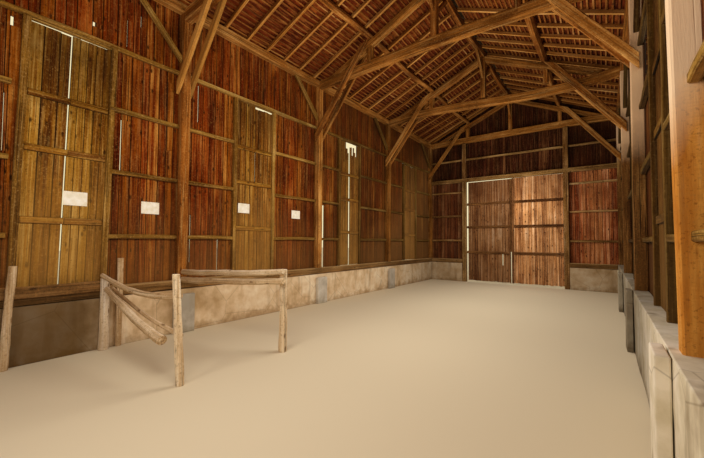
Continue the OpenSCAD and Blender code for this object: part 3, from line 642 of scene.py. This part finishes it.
def lay_boards(piece, low, high, across, rng, widths=(0.11, 0.19), leaks=(), hues=(0, 1), ragged=0.012,
               top=None, cut=None, shape=None):
    """Upright boards that fill one panel, edge to edge. across is 0 or 1, the axis the boards follow each
    other on. A leak is (place, bottom, top, width): a joint there that gapes between two heights. ragged is
    how far their feet differ. top gives the height at which the board between two places ends."""
    thin = 1 - across
    inner = sorted(l[0] for l in leaks if low[across] + 0.03 < l[0] < high[across] - 0.03)
    stops = [low[across], *inner, high[across]]
    joints = [stops[0]]
    for a, b in zip(stops, stops[1:]):
        count = max(1, round((b - a) / rng.uniform(*widths)))
        shares = [rng.uniform(0.7, 1.3) for _ in range(count)]
        for k in range(count):
            joints.append(joints[-1] + (b - a) * shares[k] / sum(shares))
        joints[-1] = b
    for a, b in zip(joints, joints[1:]):
        foot = low.z + rng.uniform(0, ragged)
        head = top(a, b, high.z) if top else high.z
        pieces = [(foot, head, a)]
        for place, bottom, end, gap in leaks:
            if abs(place - a) < 1e-6:
                bottom, end = max(bottom, foot), min(end, head)
                pieces = [p for p in ((foot, bottom, a), (bottom, end, a + gap), (end, head, a))
                          if p[1] - p[0] > SHORTEST]
        tone, hue = rng.random(), rng.uniform(*hues)
        slack = rng.uniform(0, 0.006)
        for z0, z1, start in pieces:
            c0, c1 = Vector(low), Vector(high)
            c0[across], c1[across], c0.z, c1.z = start, b, z0, z1
            c0[thin] += slack / 2
            c1[thin] -= slack / 2
            part = block(c0, c1)
            if cut:
                cut(part)
            work_wood(piece, part, rng, Z, (X, Y)[across], BOARD_EASE, BOARD_WEAR, 1.0, tone, hue, 0.0, shape)


# The joints that gape: place along the wall, bottom, top and width
LEFT_LEAKS = [(-4.27, 4.62, 4.75, 0.03), (-4.305, 2.88, 3.67, 0.005), (-2.918, 2.82, 3.70, 0.012),
              (-2.18, 3.35, 4.63, 0.006), (-1.698, 1.26, 2.18, 0.012), (-1.59, 4.04, 4.78, 0.014),
              (-1.11, 0.95, 1.70, 0.014), (2.16, 0.87, 2.71, 0.07), (2.93, 1.81, 3.25, 0.007),
              (5.9, 2.9, 4.4, 0.006)]
RIGHT_LEAKS = [(-1.2, 0.9, 4.7, 0.01), (-0.9, 1.9, 4.6, 0.008), (0.95, 0.9, 4.7, 0.016),
               (5.95, 1.2, 4.6, 0.012), (-5.0, 1.2, 3.9, 0.01)]
UPPER_LEAKS = {"left": [(-3.347, 5.09, 5.16, 0.03), (-2.865, 4.97, 5.44, 0.006), (-2.658, 5.42, 5.62, 0.008),
                        (0.36, 5.0, 5.9, 0.012)],
               "right": [(0.55, 4.9, 5.9, 0.02), (1.1, 4.86, 5.95, 0.026), (1.6, 4.86, 5.6, 0.02)]}
for side, leaks in (("left", LEFT_LEAKS), ("right", RIGHT_LEAKS)):
    rng = random.Random(side + " wall")
    piece = bmesh.new()
    for low, high in boxes(side + "_wall_boards"):
        upper = low.z > 4.5             # over the head rail
        broken = high.z < 4.6           # short of it, with splintered ends
        if side == "left" and not upper and abs(high.y + 4.2) < 0.01:
            high.y += 0.07              # behind the jamb that leans
        lay_boards(piece, low, high, 1, rng, leaks=UPPER_LEAKS[side] if upper else leaks,
                   hues=(0, 0.7) if upper else (0, 0.9),
                   top=(lambda a, b, z: z - rng.uniform(0.0, 0.3)) if broken else None)
    place_piece(side + "_wall_planks", piece, wall_stain, [side + "_wall_boards"])


def trim_to_roof(part):
    """Cuts a board along both roof slopes, at the top of the rafters."""
    for s in (-1, 1):
        normal = Vector((s * math.sin(PITCH), 0, math.cos(PITCH)))
        rise = Vector((0, 0, APEX)) + normal * TRIM_H
        cut = bmesh.ops.bisect_plane(part, geom=everything(part), plane_co=rise, plane_no=normal,
                                     clear_outer=True)
        rim = [e for e in cut["geom_cut"] if isinstance(e, bmesh.types.BMEdge)]
        if rim:
            bmesh.ops.contextual_create(part, geom=rim)


# Gable boarding: beside the doorways as laid, over them cut to the rafters' upper faces
TRIM_H = 0.08
rng = random.Random("gables")
beside, over = bmesh.new(), bmesh.new()
for low, high in boxes("gable_boards"):
    if high.z > 6:
        lay_boards(over, low, high, 0, rng, (0.10, 0.16), cut=trim_to_roof)
    else:
        lay_boards(beside, low, high, 0, rng, (0.09, 0.14))
place_piece("gable_planks_beside", beside, gable_stain, ["gable_boards"])
place_piece("gable_planks_over", over, gable_top_shaded_stain, ["gable_boards"])

# Hatches: the leaves of each bay fill the space between their jambs, with the meeting gap that each on the
# left has worn, by its place along the wall
LEANING, TIGHT, BROKEN = -3.69, -0.12, 3.4
MEETING_GAP = {-7.6: 0.006, LEANING: 0.016, TIGHT: 0.005, BROKEN: 0.06, 7.52: 0.004}
rng = random.Random("hatches")
piece = bmesh.new()
for low, high in boxes("hatch_leaves"):
    left = low.x < 0
    middle = (low.y + high.y) / 2
    near = min(MEETING_GAP, key=lambda place: abs(middle - place))
    gap = MEETING_GAP[near] if left else 0.006
    if middle < near:
        low.y, high.y = low.y - 0.03, near - gap / 2
    else:
        low.y, high.y = near + gap / 2, high.y + 0.03

    def leaf_top(a, b, z):
        """Top of the board between two places: daylight shows over the leaning and the tight hatch, and
        boards of the broken one are snapped off."""
        if left and near == LEANING:
            return z + (0.016 if b < near else 0.029) + rng.uniform(0.0, 0.014)
        if left and near == BROKEN and 3.2 < (a + b) / 2 < 3.8:
            return z - rng.uniform(0.03, 0.34)
        if left and near == TIGHT and -0.2 < (a + b) / 2 < 0.25:
            return z + rng.uniform(-0.015, 0.02)
        return z + 0.037

    lay_boards(piece, low, high, 1, rng, (0.04, 0.07) if left and near == BROKEN else (0.09, 0.16),
               top=leaf_top, ragged=0.004, shape=lean_hatch, hues=(0.45, 1) if near == LEANING else (0, 0.6),
               leaks=[(-0.215, 3.0, 3.71, 0.014)] if left else ())
place_piece("hatch_planks", piece, hatch_wood, ["hatch_leaves"])

# Leaves of the gable doors: daylight shows along the left post and where the leaves meet, up to WORN_H
WORN_H, WORN_W = 1.3, 0.034
for side in ("left", "right"):
    rng = random.Random(side + " door")
    piece = bmesh.new()
    for low, high in boxes(side + "_door_leaf"):
        leaks = []
        if side == "left":
            high.x, low.x = -0.001, low.x + 0.045
            leaks = [(-0.36, 0.75, 1.25, 0.035), (-0.042, 0.05, WORN_H, WORN_W)]
        else:
            low.x, high.z = 0.001, high.z + 0.018
        lay_boards(piece, low, high, 0, rng, (0.09, 0.13), ragged=0.02, leaks=leaks)
    place_piece(side + "_door_planks", piece, door_stain, [side + "_door_leaf"], side + "_door")
    rng = random.Random(side + " ledges")
    piece = bmesh.new()
    for low, high in boxes(side + "_door_ledges"):
        upright = high.z - low.z > 1
        corners = [(low, high)]
        if upright and side == "left":
            corners = [(Vector((low.x, low.y, WORN_H)), high),
                       (low, Vector((high.x - WORN_W, high.y, WORN_H)))]
        for part in [block(*pair) for pair in corners]:
            work_wood(piece, part, rng, Z if upright else X, X if upright else Z, 0.004, (0.003, 0.002), 0.3,
                      sway=0.0 if upright else 0.006)
    place_piece(side + "_door_ledges_worn", piece, ledge_fir, [side + "_door_ledges"],
                side + "_door")


# -------- roof

GAUGE = 0.112          # from one course of tiles to the next
TILE = (0.27, 0.0115)  # length and thickness of a tile
TILE_GAP = 0.002       # between two tiles of a course
CROWN = 0.003          # rise of a tile's middle
LAST = 4.235           # where the lowest course ends, down the slope
COURSES, ROW = 36, 118
BATTEN = (0.012, 0.044, 0.025)  # from a tile's head to the upper and lower edge of its batten; its depth


def slope_frame(side):
    """Matrix from (along the barn, down the slope, square to it) to the barn, for a side of -1 or 1."""
    down = Vector((side * math.cos(PITCH), 0, -math.sin(PITCH)))
    square = Vector((side * math.sin(PITCH), 0, math.cos(PITCH)))
    return Matrix(((0, down.x, square.x, 0), (1, down.y, square.y, 0), (0, down.z, square.z, APEX),
                   (0, 0, 0, 1)))


def clay_tile(width):
    """One plain tile, a little crowned across its width, with its head at the origin."""
    tile = block(Vector((-width / 2, 0, 0)), Vector((width / 2, *TILE)))
    cut_along(tile, X, width / 2)
    for v in tile.verts:
        if abs(v.co.x) < 1e-4:
            v.co.z += CROWN
    tile.verts.layers.float_vector.new("board")
    mesh = bpy.data.meshes.new("tile")
    tile.to_mesh(mesh)
    tile.free()
    return mesh


tile_w = 2 * VERGE_Y / ROW
full_tile, half_tile = clay_tile(tile_w - TILE_GAP), clay_tile(tile_w / 2 - TILE_GAP)
tilt = Matrix.Rotation(math.atan(TILE[1] / GAUGE), 4, "X")
for side, name in ((-1, "left"), (1, "right")):
    rng = random.Random(name + " tiles")
    piece = bmesh.new()
    turn = slope_frame(side)
    heads = [LAST - TILE[0] - row * GAUGE for row in range(COURSES)]
    for row, head in enumerate(heads):
        # every second course starts and ends with half a tile
        shift = (row % 2) * tile_w / 2
        places = [(-VERGE_Y + tile_w * (k + 0.5) + shift, full_tile) for k in range(ROW - row % 2)]
        if row % 2:
            places += [(s * (VERGE_Y - tile_w / 4), half_tile) for s in (-1, 1)]
        for y, pattern in places:
            tile = pattern.copy()
            place = (Matrix.Translation((y, head + rng.uniform(-0.003, 0.003), RAFTER + BATTEN[2] + 0.0002))
                     @ Matrix.Rotation(rng.gauss(0, 0.003), 4, "Z") @ tilt)
            sunk = settle(turn @ Vector((y, head + 0.13, RAFTER)))
            tile.transform(Matrix.Translation(sunk) @ turn @ place)
            layer = tile.attributes["board"].data
            layer.foreach_set("vector", [rng.random(), 0.0, rng.random()] * len(layer))
            piece.from_mesh(tile)
            bpy.data.meshes.remove(tile)
    place_piece(name + "_roof_tiles", piece, clay, [name + "_roof"])
    piece = bmesh.new()
    for head in heads:
        part = block(Vector((-VERGE_Y + 0.01, head + BATTEN[0], RAFTER)),
                     Vector((VERGE_Y - 0.01, head + BATTEN[1], RAFTER + BATTEN[2])))
        part.transform(turn)
        work_wood(piece, part, rng, Y, turn.to_3x3() @ Y, 0.002, (0.002, 0.001), 0.5, shape=settle)
    place_piece(name + "_roof_battens", piece, batten_fir, [name + "_roof"])

# Half-round ridge tiles on their mortar, each tapered, with its wide end over the next one's narrow end
RIDGE_TILES, RIDGE_R, RIDGE_T, LAP = 52, 0.13, 0.011, 0.03
rng = random.Random("ridge")
ridge_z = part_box("ridge_tiles")[1].z - RIDGE_R
ridge_tile_l = 2 * VERGE_Y / RIDGE_TILES
piece = bmesh.new()
for k in range(RIDGE_TILES):
    tile = bmesh.new()
    bmesh.ops.create_cone(tile, cap_ends=False, segments=24, radius1=RIDGE_R, radius2=RIDGE_R - 0.009,
                          depth=ridge_tile_l + LAP, matrix=Matrix.Rotation(math.radians(90), 4, "X"))
    bmesh.ops.bisect_plane(tile, geom=everything(tile), plane_co=(0, 0, 0.02), plane_no=Z,
                           clear_inner=True)
    bmesh.ops.recalc_face_normals(tile, faces=tile.faces)
    bmesh.ops.solidify(tile, geom=tile.faces[:], thickness=RIDGE_T)
    board = tile.verts.layers.float_vector.new("board")
    tone = rng.random()
    for v in tile.verts:
        v[board] = (tone, 0, 0)
    # the first and the last stop at the verges
    y = -VERGE_Y + ridge_tile_l * (k + 0.5) + {0: LAP / 2, RIDGE_TILES - 1: -LAP / 2}.get(k, 0)
    place = Vector((rng.uniform(-0.002, 0.002), y, ridge_z))
    tile.transform(Matrix.Translation(place + settle(Vector((0, y, 0)))))
    join_part(piece, tile)
place_piece("ridge_row_tiles", piece, clay, ["ridge_tiles"])
bedding = bmesh.new()
for part in solids("ridge_tiles"):
    part.normal_update()
    cut_along(part, Y, 0.19)
    part.normal_update()
    for v in part.verts:
        # drawn back under the tiles, unevenly
        v.co -= Vector((v.normal.x, 0, v.normal.z)) * (0.017 + 0.006 * noise.noise(v.co * 9))
        v.co += settle(v.co)
    join_part(bedding, part)
place_piece("ridge_bedding", bedding, ridge_mortar, ["ridge_tiles"])


# -------- masonry

RENDER_STEP = 0.16     # between the points that shape a rendered face
ROUNDED = 0.012        # rounding of its edges


def rendered(node, material, depth=0.014, side=0):
    """Rendered blocks: flat top and foot, faces that swell and sink by a depth in metres. A side of -1 or 1
    takes only the solids on that side of the barn."""
    piece = bmesh.new()
    for part in solids(node):
        low, high = extent(part)
        size = high - low
        if side * (low.x + high.x) < 0:
            part.free()
            continue
        bmesh.ops.bevel(part, geom=part.edges[:], offset=ROUNDED, segments=2, profile=0.5, affect="EDGES",
                        material=-1)
        for axis in (X, Y, Z):
            if size.dot(axis) > 1.6 * RENDER_STEP:
                cut_along(part, axis, RENDER_STEP)
        part.normal_update()
        for v in part.verts:
            # swellings of half a metre, and smaller hollows in the upper half
            push = 0.5 + 0.5 * noise.fractal(v.co * 1.9 + Vector((3, 3, 3)), 0.8, 2.0, 4)
            push += 0.35 * max(0, noise.noise(v.co * 7)) * (v.co.z > 0.5 * size.z)
            v.co -= Vector((v.normal.x, v.normal.y, 0)) * depth * min(push, 1.3)
        join_part(piece, part)
    name = node + {0: "", -1: "_left", 1: "_right"}[side] + "_render"
    place_piece(name, piece, material, [node])


rendered("left_plinth", lime_render)
rendered("right_plinth", whitewash)
rendered("gable_plinths", lime_render)
rendered("post_piers", pier_cement, 0.008, side=-1)
rendered("post_piers", whitewash, 0.008, side=1)


# -------- pen

def rough_pole(piece, start, end, radius, rng, taper=0.88, sag=0.0):
    """A peeled pole between two points: tapering, knobbly, not quite round, and hanging by sag midway."""
    axis = (end - start).normalized()
    length = (end - start).length
    across = Z.cross(axis).normalized() if abs(axis.z) < 0.9 else Y
    depth = axis.cross(across)
    turn = Matrix((across, depth, axis)).transposed().to_4x4()
    centre = (start + end) / 2
    pole = bmesh.new()
    bmesh.ops.create_cone(pole, cap_ends=True, segments=16, radius1=radius, radius2=radius * taper,
                          depth=length, matrix=Matrix.Translation(centre) @ turn)
    rims = [e for e in pole.edges if len(e.link_faces[0].verts) > 4 or len(e.link_faces[-1].verts) > 4]
    bmesh.ops.bevel(pole, geom=rims, offset=0.008, segments=2, profile=0.5, affect="EDGES", material=-1)
    cut_along(pole, axis, 0.08)
    pole.normal_update()
    seed = Vector((rng.uniform(-9, 9), rng.uniform(-9, 9), rng.uniform(-9, 9)))
    grain = pole.verts.layers.float_vector.new("grain")
    board = pole.verts.layers.float_vector.new("board")
    # posts have bleached more than the poles between them
    tone, hue = rng.uniform(*((0.6, 1.0) if abs(axis.z) > 0.9 else (0.0, 0.2))), rng.random()
    for v in pole.verts:
        v[grain] = Vector((v.co.dot(axis), v.co.dot(across), v.co.dot(depth))) + seed
        v[board] = (tone, 0, hue)
        flat = v.normal - axis * v.normal.dot(axis)
        lump = noise.noise(v.co * 4 + seed) * 0.6 + noise.noise(v.co * 11 + seed) * 0.4
        v.co += flat * radius * (0.22 * lump - 0.06)
        run = (v.co - centre).dot(axis) / length
        wander = noise.noise_vector(axis * (run * length * 1.1) + seed) * 0.3 * radius * (1 - 4 * run * run)
        v.co += wander - axis * wander.dot(axis) - Z * sag * (1 - 4 * run * run)
    join_part(piece, pole)


# Where two posts have come to stand, foot and head, by the place of each solid along the barn
SHIFTED = {-3.15: ((-1.03, -3.085, 0), (-1.02, -3.165, 1.295)),
           -4.24: ((-3.25, -4.245, 0), (-3.25, -4.185, 1.335))}
FAR_FENCE_Y = -2.5     # the far fence lies beyond this place
HIGH_POLE_END = Vector((-3.27, -3.185, 1.135))
THICK_LOG = (Vector((-1.33, -3.16, 0.48)), Vector((-3.18, -3.15, 0.93)))
rng = random.Random("pen")
poles, plank = bmesh.new(), bmesh.new()
for node in ("pen_posts", "pen_rails"):
    for part in solids(node):
        low, high = extent(part)
        if len(part.verts) < 12:
            size = high - low
            axis = max((X, Y, Z), key=lambda a: size.dot(a))
            sink = (lambda place: Vector((0, 0, -0.035))) if axis == Y else None
            work_wood(plank if axis == Y else poles, part, rng, axis, Z if axis == Y else Y, 0.012,
                      (0.006, 0.003), 0.15, sway=0.008, shape=sink)
            continue
        ends = sorted(part.faces, key=lambda f: -len(f.verts))[:2]
        start, end = sorted((f.calc_center_median() for f in ends), key=lambda c: (round(c.z, 3), c.x))
        radius = (ends[0].verts[0].co - ends[0].calc_center_median()).length
        part.free()
        if node == "pen_posts":
            thick = 1.2 if start.y > FAR_FENCE_Y else 1.3 if start.x < -2 else 1.0
            for y, (foot, head) in SHIFTED.items():
                if abs(start.y - y) < 0.02 and (y < -4 or start.x > -2):
                    start, end, thick = Vector(foot), Vector(head), 0.95
            rough_pole(poles, start, end, radius * thick, rng)
        elif start.y > FAR_FENCE_Y:
            # the logs of the far fence
            rough_pole(poles, start, end, radius * (1.25 if start.z < 1.0 else 1.1), rng, 0.85, 0.02)
        else:
            # the poles of the near fence end behind its free post
            high_pole = start.z > 0.8
            start = start.lerp(end, 0.075 if high_pole else 0.05)
            if high_pole:
                end = HIGH_POLE_END
            rough_pole(poles, start, end, radius * (0.95 if high_pole else 0.65), rng, 0.85,
                       0.10 if high_pole else 0.05)
# a thick log rests beside the low pole and ends short of the free post
rough_pole(poles, *THICK_LOG, 0.066, rng, 0.7, 0.05)
place_piece("pen_peeled_poles", poles, pole_wood, ["pen_posts", "pen_rails"])
place_piece("pen_plank", plank, plank_wood, ["pen_rails"])


# -------- iron and cards

for node in ("left_door_straps", "right_door_straps", "door_pintles"):
    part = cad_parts[node]
    part.data.materials.clear()
    part.data.materials.append(iron)

# Blank cards pinned to the left wall, 297 x 210 mm, two on boards and two on hatches, which stand proud
BOARD_X, HATCH_X = -3.507, -3.483
cards = bmesh.new()
for y, z, x in ((-3.50, 2.308, HATCH_X), (-2.425, 2.254, BOARD_X), (-0.494, 2.405, HATCH_X),
                (1.121, 2.369, BOARD_X)):
    sheet = block(Vector((x, y - 0.148, z - 0.105)), Vector((x + 0.0012, y + 0.148, z + 0.105)))
    cut_along(sheet, Y, 0.05)
    cut_along(sheet, Z, 0.05)
    for v in sheet.verts:
        v.co.x += 0.006 * max(0.0, noise.noise(v.co * 6)) + 0.002
    join_part(cards, sheet)
place_piece("blank_cards", cards, card)


# -------- camera, floor and light

scene = bpy.context.scene
scene.view_settings.view_transform = "Standard"
camera = bpy.data.cameras.new("camera")
camera.sensor_width = 36
camera.lens = 17.415
camera.clip_start = 0.02
camera.clip_end = 400
view = Matrix.Translation((2.973, -5.133, 1.694))
# degrees that it turns to the left, is raised from looking straight down, and rolls
for degrees, axis in ((36.594, "Z"), (92.008, "X"), (0.381, "Z")):
    view @= Matrix.Rotation(math.radians(degrees), 4, axis)
scene.camera = add_object("camera", camera)
scene.camera.matrix_world = view

floor_mesh = bmesh.new()
bmesh.ops.create_grid(floor_mesh, x_segments=1, y_segments=1, size=60)
mesh = bpy.data.meshes.new("floor")
floor_mesh.to_mesh(mesh)
floor_mesh.free()
floor = add_object("floor", mesh)
floor.location.z = -0.001
pale, put = new_material("pale_floor")
surface(put, 0.9, "#d9cbac")
mesh.materials.append(pale)

world = bpy.data.worlds.new("pale_world")
scene.world = world
world.use_nodes = True
world.node_tree.nodes.clear()
put = partial(add_node, world.node_tree)
path = put("LightPath").outputs
seen = put("Math", {0: path["Is Camera Ray"], 1: path["Is Glossy Ray"]}, operation="MAXIMUM")
seen = put("Math", {0: seen, 1: path["Is Transmission Ray"]}, operation="MAXIMUM")
sky = put("Background", {"Color": "#f6eedc", "Strength": 0.85})
backdrop = put("Background", {"Color": "#faebbc", "Strength": 1.0})
both = put("MixShader", {0: seen, 1: sky, 2: backdrop})
put("OutputWorld", {"Surface": both})

# Soft round lamps down the middle of the hall, one in each bay, in watts
for k, power in enumerate((210, 240, 240, 240, 190)):
    name = "hall_lamp_%d" % (k + 1)
    lamp = bpy.data.lights.new(name, "POINT")
    lamp.energy = power
    lamp.shadow_soft_size = 0.8
    lamp.color = (1.0, 0.96, 0.9)
    holder = add_object(name, lamp)
    holder.location = (0.3, BAY * (k - 2), 3.4)
    holder.visible_camera = holder.visible_glossy = False
